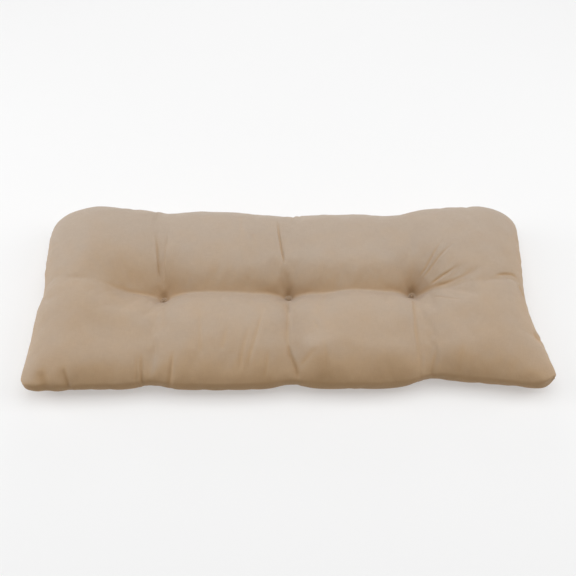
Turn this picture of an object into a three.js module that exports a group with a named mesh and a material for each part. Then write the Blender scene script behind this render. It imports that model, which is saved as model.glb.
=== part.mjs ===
import * as THREE from 'three';

// A tufted cushion for a settee seat, lying on its underside.
// Sizes are in millimetres. X runs along the seat, Y from the front edge to the back, Z up.
// The cushion is one filled cover: an upper and a lower sheet that meet at a seam all round.
const LENGTH = 1118;
const DEPTH = 483;
const CROWN_HEIGHT = 124;
const SEAM_HEIGHT = 50;
// The filling falls away from the tufts to the front: how far it has dropped at the front edge,
// where the fall begins, and how much it bends.
const FRONT_DROP = { depth: 38, from: -20, bend: 1.5 };
const HALF_LENGTH = LENGTH / 2;
const HALF_DEPTH = DEPTH / 2;

// The outer band in which the cover turns down to its seam and in which the corners are cut.
const SHOULDER = 150;
const FRONT_SHOULDER = 85;
const SHOULDER_RISE = 2.3;
const SHOULDER_FULLNESS = 2.1;
const BACK_CORNER_CUTS = { left: 17, right: 25 };
const BACK_CORNER_SPREAD = 3.3;
// The front corners are folded in, which leaves a short blunt end: how far the fold reaches along
// the front edge, and how many times shorter it is along the side.
const FRONT_CORNER_FOLDS = {
  left: { reach: 12, slope: 1 },
  right: { reach: 34, slope: 1.7 },
};
const FRONT_CORNER_SOFTNESS = 9;
const FRONT_CORNER_FILLING = 0.8;

// The underside curls up to the seam over this band and lies flat inside it.
const UNDER_BAND = 85;
const UNDER_RISE = 2.6;
const UNDER_FULLNESS = 2;
const UNDER_PRESS = 1.05;

// How the filling bulges (+) or draws in (-) each edge: by how much, where along it, how wide.
const EDGE_WAVES = {
  left: [
    { out: -9, at: 0, width: 50 },
    { out: 4, at: 185, width: 60 },
    { out: -2, at: -120, width: 60 },
    { out: 3, at: -235, width: 50 },
  ],
  right: [
    { out: -28, at: -30, width: 110 },
    { out: -14, at: 130, width: 90 },
    { out: 4, at: 200, width: 50 },
    { out: -3, at: -112, width: 45 },
    { out: 5, at: -245, width: 50 },
  ],
  front: [
    { out: 6, at: -510, width: 55 },
    { out: -9, at: -290, width: 40 },
    { out: 2, at: -140, width: 80 },
    { out: -14, at: 0, width: 45 },
    { out: 1, at: 150, width: 80 },
    { out: -20, at: 312, width: 56 },
    { out: -9, at: 400, width: 70 },
    { out: 6, at: 530, width: 50 },
  ],
  back: [
    { out: 6, at: -475, width: 50 },
    { out: 7, at: -420, width: 80 },
    { out: -10, at: -275, width: 45 },
    { out: -16, at: 0, width: 120 },
    { out: -6, at: 130, width: 70 },
    { out: -17, at: 240, width: 70 },
    { out: 5, at: 430, width: 80 },
  ],
};
const SIDE_WAVE_FADE = 260;
const END_WAVE_FADE = 150;

// Each tuft deepens the valley by a share of its depth, which fades over the tuft's reach, and makes
// a small cone in the upper sheet with a flat-bottomed pit for its knot.
const TUFTS = [
  { node: 'tuft_left', x: -278, y: -18 },
  { node: 'tuft_centre', x: 1, y: -16 },
  { node: 'tuft_right', x: 279, y: -8 },
];
const TUFT_PULL = 0.62;
const TUFT_REACH = 60;
const TUFT_ROUNDING = 6;
const CONE_DEPTH = 5;
const CONE_REACH = 14;
const PIT_RADIUS = 8;
const PIT_DEPTH = 4;
const PIT_WALL = 5;
const GATHER_REACH = 40;
const KNOT_RADIUS = 5;
const KNOT_HEIGHT = 5.5;
const KNOT_CLEARANCE = 0.3;

// The long valley along the tufts, by its turning points from left to right. The filling behind it
// leans over it, so its wall towards the back is the steeper one, and most so between the tufts.
const VALLEY = [
  { x: -500, y: -4, depth: 0, reach: 100, steepness: 1.8 },
  { x: -445, y: -6, depth: 8, reach: 110, steepness: 1.8 },
  { x: -400, y: -9, depth: 24, reach: 125, steepness: 2.2 },
  { x: -345, y: -15, depth: 41, reach: 135, steepness: 2.8 },
  { x: -278, y: -16, depth: 38, reach: 140, steepness: 3.6 },
  { x: -140, y: -24, depth: 33, reach: 140, steepness: 4.8 },
  { x: -75, y: -25, depth: 35, reach: 143, steepness: 4.6 },
  { x: 1, y: -18, depth: 37, reach: 146, steepness: 4.4 },
  { x: 75, y: -25, depth: 36, reach: 148, steepness: 4.8 },
  { x: 140, y: -22, depth: 34, reach: 150, steepness: 5.6 },
  { x: 210, y: -22, depth: 38, reach: 150, steepness: 5 },
  { x: 279, y: -10, depth: 39, reach: 146, steepness: 4.6 },
  { x: 340, y: -21, depth: 22, reach: 120, steepness: 3.6 },
  { x: 420, y: -22, depth: 7, reach: 90, steepness: 3.6 },
  { x: 500, y: -4, depth: 3, reach: 60, steepness: 3.6 },
];
const VALLEY_ROUNDING = 3;
const VALLEY_FRONT_STEEPNESS = 2;

// Shallower folds that run from each tuft to the front and back edges: their depth and reach at the
// tuft and at the edge, and how many times wider they spread to the left and to the right.
const CROSS_FOLDS = [
  { tuft: 0, x: -290, y: -241, depth: [30, 8], reach: [85, 65], rounding: 16, left: 2.3, right: 1 },
  { tuft: 1, x: 14, y: -241, depth: [28, 12], reach: [75, 55], rounding: 14, left: 1, right: 1 },
  { tuft: 2, x: 300, y: -241, depth: [28, 14], reach: [85, 65], rounding: 16, left: 1, right: 1 },
  { tuft: 2, x: 400, y: -170, depth: [20, 0], reach: [70, 60], rounding: 16, left: 1, right: 1 },
  { tuft: 0, x: -308, y: 200, depth: [20, 6], reach: [50, 60], rounding: 6, left: 2.2, right: 0.8 },
  { tuft: 1, x: 2, y: 241, depth: [22, 8], reach: [80, 70], rounding: 20, left: 1.2, right: 1 },
  { tuft: 2, x: 268, y: 241, depth: [24, 8], reach: [80, 70], rounding: 16, left: 1.4, right: 1 },
];
const FOLD_BLEND = 2.5;

// Where the filling stands fuller or flatter than the crown.
const PUFFS = [
  { x: -470, y: 100, rise: 3, wide: 90, deep: 100 },
  { x: -165, y: 120, rise: 2, wide: 70, deep: 80 },
  { x: 140, y: 120, rise: -6, wide: 100, deep: 80 },
  { x: 410, y: 120, rise: 6, wide: 110, deep: 90 },
  { x: -400, y: -140, rise: -8, wide: 100, deep: 60 },
  { x: -120, y: -200, rise: -4, wide: 60, deep: 30 },
  { x: 60, y: -195, rise: 14, wide: 45, deep: 40 },
  { x: 200, y: -80, rise: 10, wide: 90, deep: 80 },
  { x: 220, y: -205, rise: 8, wide: 100, deep: 34 },
  { x: 430, y: -205, rise: -4, wide: 60, deep: 34 },
];

// Spacing of the surface points: finer in the edge band and around the tufts.
const EDGE_BAND = 60;
const EDGE_STEPS = 8;
const LENGTH_STEPS = 44;
const DEPTH_STEPS = 20;
const TUFT_STEPS = [-20, -12, -5.6, 0, 5.6, 12, 20];
const UNDERSIDE_HUB = { x: 30, y: 40 };

const CLOTH_COLOUR = new THREE.Color(0.495, 0.396, 0.309);
const KNOT_COLOUR = new THREE.Color(0.47, 0.37, 0.285);

const clamp01 = (t) => THREE.MathUtils.clamp(t, 0, 1);
const bump = (distance, width) => Math.exp(-((distance / width) ** 2));
const wave = (along, rows) =>
  rows.reduce((sum, row) => sum + row.out * bump(along - row.at, row.width), 0);

// 0 inside the band and 1 at the edge.
const intoBand = (v, half, band) => clamp01((Math.abs(v) - (half - band)) / band);

// Distance from a point to a straight stretch, how far along the stretch the nearest point is, and
// whether the point lies to the right of that.
function toStretch(x, y, from, to) {
  const dx = to.x - from.x;
  const dy = to.y - from.y;
  const along = clamp01(((x - from.x) * dx + (y - from.y) * dy) / (dx * dx + dy * dy));
  const offX = x - from.x - along * dx;
  const offY = y - from.y - along * dy;
  const isRight = (dx * offY - dy * offX) * -dy > 0;
  return { along, distance: Math.hypot(offX, offY), isRight };
}

// A trough that is deepest on its line, with a rounded bottom, and level at its reach.
function trough(distance, reach, rounding, steepness) {
  const rounded = Math.hypot(distance, rounding) - rounding;
  return clamp01(1 - rounded / reach) ** steepness;
}

function crossFoldDepth(x, y, fold) {
  const { along, distance, isRight } = toStretch(x, y, TUFTS[fold.tuft], fold);
  const spread = isRight ? fold.right : fold.left;
  const reach = THREE.MathUtils.lerp(fold.reach[0], fold.reach[1], along) * spread;
  const depth = THREE.MathUtils.lerp(fold.depth[0], fold.depth[1], along);
  return depth * trough(distance, reach, fold.rounding, 2);
}

// One column of the valley's table at x, eased from each turning point to the next.
function alongValley(x, column) {
  const last = VALLEY.length - 1;
  const next = VALLEY.findIndex((turn) => turn.x > x);
  if (next === 0) return VALLEY[0][column];
  if (next < 0) return VALLEY[last][column];
  const from = VALLEY[next - 1];
  const to = VALLEY[next];
  const eased = THREE.MathUtils.smoothstep(x, from.x, to.x);
  return THREE.MathUtils.lerp(from[column], to[column], eased);
}

function valleyDepth(x, y) {
  const pulled = TUFTS.reduce((sum, tuft) => {
    const away = Math.hypot(x - tuft.x, TUFT_ROUNDING) - TUFT_ROUNDING;
    return sum + TUFT_PULL * Math.exp(-away / TUFT_REACH);
  }, 0);
  const off = y - alongValley(x, 'y');
  const steepness = off < 0 ? VALLEY_FRONT_STEEPNESS : alongValley(x, 'steepness');
  const depth = alongValley(x, 'depth') * (1 + pulled);
  return depth * trough(off, alongValley(x, 'reach'), VALLEY_ROUNDING, steepness);
}

// Points near a tuft read the folds as if they were closer to it, so its pit has a flat floor.
function gather(x, y) {
  return TUFTS.reduce((place, tuft) => {
    const r = Math.hypot(x - tuft.x, y - tuft.y);
    const drawn = PIT_RADIUS * Math.exp(-Math.max(r - PIT_RADIUS, 0) / GATHER_REACH);
    const kept = r > drawn ? 1 - drawn / r : 0;
    return { x: tuft.x + (place.x - tuft.x) * kept, y: tuft.y + (place.y - tuft.y) * kept };
  }, { x, y });
}

// How far the sewing pulls the upper sheet below the crown at a point.
function pull(x, y) {
  const depths = [valleyDepth(x, y), ...CROSS_FOLDS.map((fold) => crossFoldDepth(x, y, fold))];
  const blended = depths.reduce((sum, depth) => sum + depth ** FOLD_BLEND, 0) ** (1 / FOLD_BLEND);
  return TUFTS.reduce((sum, tuft) => {
    const away = Math.hypot(x - tuft.x, y - tuft.y);
    return sum + CONE_DEPTH * Math.exp(-away / CONE_REACH) + PIT_DEPTH * bump(away, PIT_WALL);
  }, blended);
}

function crown(y) {
  const share = clamp01((FRONT_DROP.from - y) / (FRONT_DROP.from + HALF_DEPTH));
  return CROWN_HEIGHT - FRONT_DROP.depth * share ** FRONT_DROP.bend;
}

const puff = (x, y) =>
  PUFFS.reduce((sum, p) => sum + p.rise * bump(x - p.x, p.wide) * bump(y - p.y, p.deep), 0);

// How far the folded-in front corner moves a point along the seat; times its slope towards the back.
function cornerFold(u, v, { reach, slope }) {
  const past = reach - (HALF_LENGTH - Math.abs(u)) - slope * (HALF_DEPTH + v);
  return (past + Math.hypot(past, FRONT_CORNER_SOFTNESS)) / 2 / (1 + slope ** 2);
}

// Places a point of the flat, unsewn rectangle (u, v) on the filled cushion's plan, whose middle
// line follows the valley.
function plan(u, v) {
  const side = u < 0 ? 'left' : 'right';
  const end = v < 0 ? 'front' : 'back';
  const p = intoBand(u, HALF_LENGTH, SHOULDER);
  const q = intoBand(v, HALF_DEPTH, v < 0 ? FRONT_SHOULDER : SHOULDER);
  const fold = cornerFold(u, v, FRONT_CORNER_FOLDS[side]);
  const cut = v > 0 ? BACK_CORNER_CUTS[side] : 0;
  const bent = v + alongValley(u, 'y') * (1 - (v / HALF_DEPTH) ** 2);
  const x = u - Math.sign(u) * (cut * p * q ** BACK_CORNER_SPREAD + fold);
  const y = bent - cut * q * p ** BACK_CORNER_SPREAD + FRONT_CORNER_FOLDS[side].slope * fold;
  const nearSide = THREE.MathUtils.smoothstep(Math.abs(u), HALF_LENGTH - SIDE_WAVE_FADE, HALF_LENGTH);
  const nearEnd = THREE.MathUtils.smoothstep(Math.abs(v), HALF_DEPTH - END_WAVE_FADE, HALF_DEPTH);
  return {
    x: x + Math.sign(u) * nearSide * wave(y, EDGE_WAVES[side]),
    y: y + Math.sign(v) * nearEnd * wave(x, EDGE_WAVES[end]),
    p,
    q,
  };
}

// 0 at the seam and 1 inside the band, rounded over; the front corners are filled out a little.
function rounding(p, q, rise, fullness, isFront) {
  const filled = fullness + (isFront ? FRONT_CORNER_FILLING * (p * q) ** 2 : 0);
  return ((1 - p ** rise) * (1 - q ** rise)) ** (1 / filled);
}

function upperPoint(u, v) {
  const { x, y, p, q } = plan(u, v);
  const sewn = gather(x, y);
  const height = crown(sewn.y) - SEAM_HEIGHT + puff(sewn.x, sewn.y) - pull(sewn.x, sewn.y);
  const shoulder = rounding(p, q, SHOULDER_RISE, SHOULDER_FULLNESS, v < 0);
  return new THREE.Vector3(x, y, SEAM_HEIGHT + height * shoulder);
}

function lowerPoint(u, v) {
  const { x, y } = plan(u, v);
  const p = intoBand(u, HALF_LENGTH, UNDER_BAND);
  const q = intoBand(v, HALF_DEPTH, UNDER_BAND);
  const curl = rounding(p, q, UNDER_RISE, UNDER_FULLNESS, v < 0);
  return new THREE.Vector3(x, y, Math.max(SEAM_HEIGHT * (1 - curl * UNDER_PRESS), 0));
}

// Places of the surface points across the cushion: crowded at the edges, even between,
// and at fixed steps about each tuft.
function stations(half, steps, tufts) {
  const edge = [];
  for (let i = 0; i < EDGE_STEPS; i += 1) {
    edge.push(half - EDGE_BAND * (1 - Math.cos((i / EDGE_STEPS) * (Math.PI / 2))));
  }
  const between = [];
  const inner = half - EDGE_BAND;
  const clear = TUFT_STEPS[TUFT_STEPS.length - 1] + inner / steps;
  for (let i = 0; i <= steps; i += 1) {
    const place = inner * ((2 * i) / steps - 1);
    if (tufts.every((tuft) => Math.abs(place - tuft) > clear)) between.push(place);
  }
  const atTufts = tufts.flatMap((tuft) => TUFT_STEPS.map((step) => tuft + step));
  return [...edge, ...edge.map((place) => -place), ...between, ...atTufts].sort((a, b) => a - b);
}

// The two sheets share their rim points. The flat part of the underside is a fan about one point.
function cushionGeometry() {
  const us = stations(HALF_LENGTH, LENGTH_STEPS, TUFTS.map((tuft) => tuft.x));
  const vs = stations(HALF_DEPTH, DEPTH_STEPS, [0]);
  const lastU = us.length - 1;
  const lastV = vs.length - 1;
  const onRim = (i, j) => i === 0 || j === 0 || i === lastU || j === lastV;
  const flatU = (u) => Math.abs(u) <= HALF_LENGTH - UNDER_BAND;
  const flatV = (v) => Math.abs(v) <= HALF_DEPTH - UNDER_BAND;
  const firstFlat = { i: us.findIndex(flatU), j: vs.findIndex(flatV) };
  const lastFlat = { i: us.findLastIndex(flatU), j: vs.findLastIndex(flatV) };
  const insideFlat = (i, j) => i > firstFlat.i && i < lastFlat.i && j > firstFlat.j && j < lastFlat.j;

  const points = [];
  const addPoint = (point) => points.push(point.x, point.y, point.z) / 3 - 1;
  const upper = us.map((u) => vs.map((v) => addPoint(upperPoint(u, v))));
  const lower = us.map((u, i) => vs.map((v, j) => {
    if (onRim(i, j)) return upper[i][j];
    return insideFlat(i, j) ? -1 : addPoint(lowerPoint(u, v));
  }));

  const faces = [];
  for (let i = 0; i < lastU; i += 1) {
    for (let j = 0; j < lastV; j += 1) {
      faces.push(upper[i][j], upper[i + 1][j], upper[i + 1][j + 1]);
      faces.push(upper[i][j], upper[i + 1][j + 1], upper[i][j + 1]);
      const flatCell = i >= firstFlat.i && i < lastFlat.i && j >= firstFlat.j && j < lastFlat.j;
      if (flatCell) continue;
      faces.push(lower[i][j], lower[i + 1][j + 1], lower[i + 1][j]);
      faces.push(lower[i][j], lower[i][j + 1], lower[i + 1][j + 1]);
    }
  }

  const loop = [];
  for (let i = firstFlat.i; i < lastFlat.i; i += 1) loop.push(lower[i][firstFlat.j]);
  for (let j = firstFlat.j; j < lastFlat.j; j += 1) loop.push(lower[lastFlat.i][j]);
  for (let i = lastFlat.i; i > firstFlat.i; i -= 1) loop.push(lower[i][lastFlat.j]);
  for (let j = lastFlat.j; j > firstFlat.j; j -= 1) loop.push(lower[firstFlat.i][j]);
  const hub = addPoint(new THREE.Vector3(UNDERSIDE_HUB.x, UNDERSIDE_HUB.y, 0));
  loop.forEach((point, k) => faces.push(hub, loop[(k + 1) % loop.length], point));

  const geometry = new THREE.BufferGeometry();
  geometry.setAttribute('position', new THREE.Float32BufferAttribute(points, 3));
  geometry.setIndex(faces);
  return geometry;
}

// A knot is a low dome, turned about its own upright axis.
function knotGeometry() {
  const outline = [
    [0, 0], [0.72, 0], [0.94, 0.16], [1, 0.38], [0.92, 0.62], [0.7, 0.83], [0.38, 0.96], [0, 1],
  ];
  const profile = outline.map(([r, z]) => new THREE.Vector2(r * KNOT_RADIUS, z * KNOT_HEIGHT));
  return new THREE.LatheGeometry(profile, 16).rotateX(Math.PI / 2);
}

function cloth(colour) {
  return new THREE.MeshStandardMaterial({ color: colour, roughness: 0.95, metalness: 0 });
}

const cushion = new THREE.Mesh(cushionGeometry(), cloth(CLOTH_COLOUR));
cushion.name = 'cushion';

const group = new THREE.Group();
group.add(cushion);
for (const tuft of TUFTS) {
  const pitFloor = upperPoint(tuft.x, 0).z;
  const knot = new THREE.Mesh(knotGeometry(), cloth(KNOT_COLOUR));
  knot.name = tuft.node;
  knot.position.set(tuft.x, tuft.y, pitFloor + KNOT_CLEARANCE);
  group.add(knot);
}

// The origin is under the middle of the cushion's own box, on the surface it lies on.
cushion.geometry.computeBoundingBox();
const middle = cushion.geometry.boundingBox.getCenter(new THREE.Vector3());
group.position.set(-middle.x, -middle.y, 0);
group.updateMatrixWorld(true);

export default group;
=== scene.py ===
"""The looks of a tufted settee cushion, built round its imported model.

The cover's form is worked out in millimetres and turned into metres as the meshes are made.
X runs along the seat, Y from the front edge to the back, Z up from the floor it lies on.
"""

import math
from collections import namedtuple

import bpy
import numpy as np
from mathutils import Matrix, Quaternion, Vector


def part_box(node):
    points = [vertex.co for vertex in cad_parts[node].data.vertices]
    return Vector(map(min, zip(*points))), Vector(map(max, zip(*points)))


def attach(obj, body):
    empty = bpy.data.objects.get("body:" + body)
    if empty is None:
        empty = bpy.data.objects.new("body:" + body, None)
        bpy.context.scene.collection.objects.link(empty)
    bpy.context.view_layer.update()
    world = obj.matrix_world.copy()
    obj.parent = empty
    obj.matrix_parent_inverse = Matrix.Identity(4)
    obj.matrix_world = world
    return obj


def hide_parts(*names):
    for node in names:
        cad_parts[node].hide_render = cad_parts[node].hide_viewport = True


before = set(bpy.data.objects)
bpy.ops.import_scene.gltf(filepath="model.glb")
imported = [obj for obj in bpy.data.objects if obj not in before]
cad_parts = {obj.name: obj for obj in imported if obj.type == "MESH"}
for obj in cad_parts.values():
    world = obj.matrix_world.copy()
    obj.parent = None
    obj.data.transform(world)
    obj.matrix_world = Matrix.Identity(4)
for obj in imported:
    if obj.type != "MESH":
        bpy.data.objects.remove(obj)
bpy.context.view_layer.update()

MM = 0.001

# The cushion's main sizes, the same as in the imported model. The tables of folds, waves and puffs
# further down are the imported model's too, with a few rows fitted closer to the real cushion.
LENGTH = 1118
DEPTH = 483
CROWN_HEIGHT = 124
FRONT_DROP = 38
FRONT_DROP_FROM = -20
FRONT_DROP_BEND = 1.5
SEAM_HEIGHT = 50
HALF_LENGTH = LENGTH / 2
HALF_DEPTH = DEPTH / 2

# The outer band in which the cover turns down to its seam and in which the corners are cut.
SHOULDER = 150
FRONT_SHOULDER = 85
SHOULDER_RISE = 2.3
SHOULDER_FULLNESS = 2.1
BACK_CORNER_CUTS = (17, 25)
BACK_CORNER_SPREAD = 3.3
FRONT_CORNER_FOLDS = (12, 34)
FRONT_CORNER_SLOPES = (1, 1.7)
FRONT_CORNER_SOFTNESS = 9
FRONT_CORNER_FILLING = 0.8

# The underside curls up to the seam over this band and lies flat inside it. Points lower than
# the last size rest on the floor.
UNDER_BAND = 85
UNDER_RISE = 2.6
UNDER_FULLNESS = 2
UNDER_PRESS = 1.05
UNDER_RESTING = 1

# How the filling bulges (+) or draws in (-) each edge: by how much, where along it, how wide.
Wave = namedtuple("Wave", "out at width")
EDGE_WAVES = {
    "left": [Wave(-9, 0, 50), Wave(4, 185, 60), Wave(-2, -120, 60), Wave(3, -235, 50)],
    "right": [
        Wave(-28, -30, 110), Wave(-14, 130, 90), Wave(4, 200, 50), Wave(-3, -112, 45),
        Wave(5, -245, 50),
    ],
    "front": [
        Wave(6, -510, 55), Wave(-9, -290, 40), Wave(2, -140, 80), Wave(-9, 6, 42),
        Wave(1, 150, 80), Wave(-20, 312, 56), Wave(-9, 400, 70), Wave(6, 530, 50),
    ],
    "back": [
        Wave(6, -475, 50), Wave(7, -420, 80), Wave(-10, -275, 45), Wave(-16, 0, 120),
        Wave(-6, 130, 70), Wave(-17, 240, 70), Wave(5, 430, 80),
    ],
}
SIDE_WAVE_FADE = 260
END_WAVE_FADE = 150

# The tufts. Each deepens the valley by a share of its depth, and sits in a pit in a small cone.
Tuft = namedtuple("Tuft", "node x y")
TUFTS = [Tuft("tuft_left", -278, -18), Tuft("tuft_centre", 1, -16), Tuft("tuft_right", 279, -8)]
TUFT_PULL = 0.62
TUFT_REACH = 60
TUFT_ROUNDING = 6
CONE_DEPTH = 5
CONE_REACH = 14
PIT_RADIUS = 8
PIT_DEPTH = 4
PIT_WALL = 5
GATHER_REACH = 40

# The long valley along the tufts, by its turning points from left to right, with the steepness of
# its back wall. Its front wall has a steepness of its own.
Turn = namedtuple("Turn", "x y depth reach steepness")
VALLEY = [
    Turn(-500, -4, 0, 100, 1.8), Turn(-445, -6, 5, 110, 1.8), Turn(-345, -15, 41, 135, 2.8),
    Turn(-278, -16, 38, 140, 3.6), Turn(-140, -24, 33, 140, 4.8),
    Turn(-75, -25, 35, 143, 4.6), Turn(1, -18, 37, 146, 4.4), Turn(75, -25, 36, 148, 4.8),
    Turn(140, -22, 34, 150, 5.6), Turn(210, -22, 38, 150, 5), Turn(279, -10, 39, 146, 4.6),
    Turn(340, -26, 21, 120, 3.6), Turn(420, -22, 7, 90, 3.6), Turn(500, -4, 3, 60, 3.6),
]
VALLEY_ROUNDING = 3
VALLEY_FRONT_STEEPNESS = 2

# Shallower folds that run from each tuft to the front and back edges: their depth and reach at the
# tuft and at the edge, and how far they spread to the left and to the right.
CrossFold = namedtuple("CrossFold", "tuft x y depth reach rounding spread")
CROSS_FOLDS = [
    CrossFold(0, -290, -241, (30, 8), (85, 65), 16, (2.3, 1)),
    CrossFold(1, 14, -241, (28, 12), (75, 55), 14, (1, 1)),
    CrossFold(2, 300, -241, (28, 14), (85, 65), 28, (1, 1)),
    CrossFold(2, 400, -170, (20, 0), (70, 60), 16, (1, 1)),
    CrossFold(0, -308, 200, (20, 6), (50, 60), 6, (2.2, 0.8)),
    CrossFold(1, 2, 241, (18, 8), (80, 70), 30, (1.2, 1)),
    CrossFold(2, 268, 241, (24, 8), (80, 70), 16, (1.4, 1)),
]
FOLD_BLEND = 2.5

# Where the filling stands fuller or flatter than the crown.
Puff = namedtuple("Puff", "x y rise wide deep")
PUFFS = [
    Puff(-470, 100, 3, 90, 100), Puff(-165, 120, 2, 70, 80), Puff(140, 120, -6, 100, 80),
    Puff(410, 120, 6, 110, 90), Puff(-400, -140, -8, 100, 60), Puff(-120, -200, -4, 60, 30),
    Puff(60, -195, 14, 45, 40), Puff(200, -80, 10, 90, 80), Puff(220, -205, 8, 100, 34),
    Puff(430, -205, -4, 60, 34),
]

# Creases in the cover: the route, its depth (a ridge where negative), its half width at the start
# and end, and how much one side stands above the other (the left of its route where positive).
Crease = namedtuple("Crease", "route depth widths lean")
CREASES = [
    # Along the valley, where the back folds over the front beside each tuft.
    Crease([(-278, -16), (-250, -17), (-205, -20)], 1.4, (5, 6), 0.0),
    Crease([(-278, -16), (-310, -16), (-345, -14), (-410, -8)], 1.4, (5, 6), 0.0),
    Crease([(1, -15), (-30, -18), (-85, -22)], 1.4, (5, 6), 0.0),
    Crease([(1, -15), (30, -18), (80, -22)], 1.4, (5, 6), 0.0),
    Crease([(279, -8), (250, -12), (200, -20)], 1.4, (5, 6), 0.0),
    Crease([(279, -8), (316, -15), (336, -19), (378, -15), (410, -18)], 1.8, (5, 6), 0.0),
    # From the left tuft to the back.
    Crease([(-286, 10), (-288, 24), (-290, 49), (-294, 79), (-303, 140)], 2.8, (3, 3), 0.6),
    # Across the middle of the back.
    Crease([(-7, 32), (-10, 53), (-14, 82), (-19, 119), (-24, 190)], 4.6, (2.5, 3.5), 0.6),
    Crease([(-108, 185), (-104, 130), (-95, 80)], 1.4, (6, 8), 0.3),
    Crease([(-80, 115), (-68, 60)], 1.2, (7, 9), -0.3),
    Crease([(16, 226), (12, 190), (8, 150)], 2.0, (4, 4), 0.5),
    Crease([(30, 226), (26, 190)], 1.4, (4, 4), 0.3),
    # From the centre tuft to the front.
    Crease([(-1, -40), (0, -109), (0, -169), (2, -190)], 1.8, (3, 4), 0.6),
    Crease([(22, -236), (15, -214), (4, -189), (0, -150)], 4.2, (5, 3), -0.8),
    Crease([(24, -214), (48, -198), (72, -188)], 1.6, (5, 7), 0.0),
    # Streaks in the front half, between the left and the centre tuft.
    Crease([(-88, -226), (-74, -178), (-62, -130), (-50, -70)], 2.2, (5, 5), -0.3),
    Crease([(-104, -226), (-92, -170), (-80, -120)], 1.8, (6, 6), 0.3),
    Crease([(-140, -190), (-126, -120)], 1.6, (8, 7), 0.0),
    Crease([(-182, -200), (-190, -80)], 1.5, (6, 6), 0.0),
    # Puckers along the front edge.
    Crease([(-308, -246), (-307, -222), (-309, -180)], 3.2, (4, 4), 0.0),
    Crease([(-319, -240), (-317, -215), (-316, -180)], 1.6, (4, 4), 0.0),
    Crease([(-284, -236), (-280, -210), (-277, -170)], -1.2, (8, 8), 0.0),
    Crease([(-250, -246), (-245, -222), (-240, -180)], 2.8, (6, 5), -0.8),
    Crease([(-50, -236), (-44, -212), (-40, -180)], 1.8, (5, 5), -0.5),
    Crease([(-506, -256), (-512, -240), (-519, -214)], 5.5, (15, 11), 0.0),
    Crease([(-459, -254), (-461, -238), (-470, -214)], 3.6, (5, 6), -1.2),
    # From the left tuft to the front.
    Crease([(-272, -60), (-262, -140)], 1.0, (6, 8), 0.0),
    # Folds that spread from the right tuft to the back and to the right.
    Crease([(292, 13), (307, 27), (328, 58), (352, 92)], 2.2, (3, 3), 0.0),
    Crease([(299, 7), (313, 19), (340, 48), (384, 88)], 2.0, (3, 3), 0.0),
    Crease([(313, -9), (332, -4), (349, 3), (380, 20)], 3.2, (3, 4), 0.0),
    Crease([(322, -19), (342, -18), (361, -13), (385, -7), (412, 8)], 1.6, (3, 4), 0.0),
    Crease([(318, -46), (343, -59), (361, -65), (386, -74)], 1.2, (3, 4), 0.3),
    # Where the valley runs over the right edge, and a pucker further forward on that edge.
    Crease([(512, 0), (501, 7), (480, 2), (448, -10)], 3.0, (4, 3), 0.0),
    Crease([(522, -36), (515, -18), (510, -6)], 4.5, (4, 3), 0.0),
    Crease([(546, -142), (538, -141), (522, -136)], 4.0, (8, 6), -2.0),
    # From the right tuft to the front.
    Crease([(276, -34), (272, -87), (271, -139), (274, -185), (278, -240)], 2.4, (3.5, 5), -0.4),
    Crease([(300, -226), (313, -172)], 2.2, (6, 5), -0.6),
    Crease([(280, -228), (286, -178)], -1.4, (6, 5), 0.0),
    Crease([(356, -228), (372, -160)], 1.5, (11, 9), 0.0),
    # Streaks in the front half, right of the centre tuft.
    Crease([(54, -118), (67, -152)], 1.2, (5, 6), 0.3),
    Crease([(80, -228), (73, -165)], 1.4, (6, 5), -0.3),
]
# The shares of its route over which a crease starts and dies out, how high its sides stand up, how
# much wider its lean is and how many widths it reaches, and how soon it fades on the underside.
CREASE_START = 0.15
CREASE_TAIL = 0.5
CREASE_SHOULDER = 0.35
CREASE_LEAN_SPREAD = 2
CREASE_REACH = 4
CREASE_UNDER_FADE = 26

# Spacing of the surface points: crowded at the edges and in the zones with folds and tufts. The
# samples are the places at which the crowding is added up.
EDGE_BAND = 60
EDGE_STEPS = 15
SPACING = 3.4
FINE_SPACING = 1.8
ZONE_BLEND = 20
ZONE_SAMPLES = 2001
FINE_ALONG = [(-325, -252), (-50, 35), (252, 385)]
FINE_ACROSS = [(-45, 70)]

# The cloth simulation: its spacing, how slack the cover is, how hard the filling presses, the most
# that a point may move, and what is held: the tufts, and the valley where it is deep.
SETTLE_EDGE_STEPS = 6
SETTLE_SPACING = 8
SETTLE_FRAMES = 20
SETTLE_QUALITY = 6
SETTLE_SLACK = 0.02
SETTLE_PRESSURE = 4
SETTLE_CAP = 4
SETTLE_PIN_RADIUS = 14
SETTLE_PIN_VALLEY = 10
SETTLE_PIN_DEPTH = 20

# The narrow gap round each knot, and the dimples under the tufts.
MOAT_DEPTH = 2
MOAT_RADIUS = 6.6
MOAT_WIDTH = 1.8
DIMPLE_DEPTH = 9
DIMPLE_REACH = 24

# The seam round the sides and the back, which starts this far from the front edge, with the width
# of the band at the ends of the front that is sewn as well.
SEAM_FROM_FRONT = 30
SEAM_END_BAND = 26
SEAM_GROOVE = 1.8
SEAM_GROOVE_WIDTH = 1.8
SEAM_RIDGE = 0.9
SEAM_RIDGE_AT = 5
SEAM_RIDGE_WIDTH = 3
PUCKER_DEPTH = 0.35
PUCKER_FADE = 20

# The plane waves that make the seam's puckers and the whole surface a little uneven.
Waves = namedtuple("Waves", "seed count shortest longest")
PUCKER_WAVES = Waves(5, 9, 14, 40)
SURFACE_WAVES = Waves(11, 26, 45, 160)
UNEVENNESS = 0.6

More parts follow.
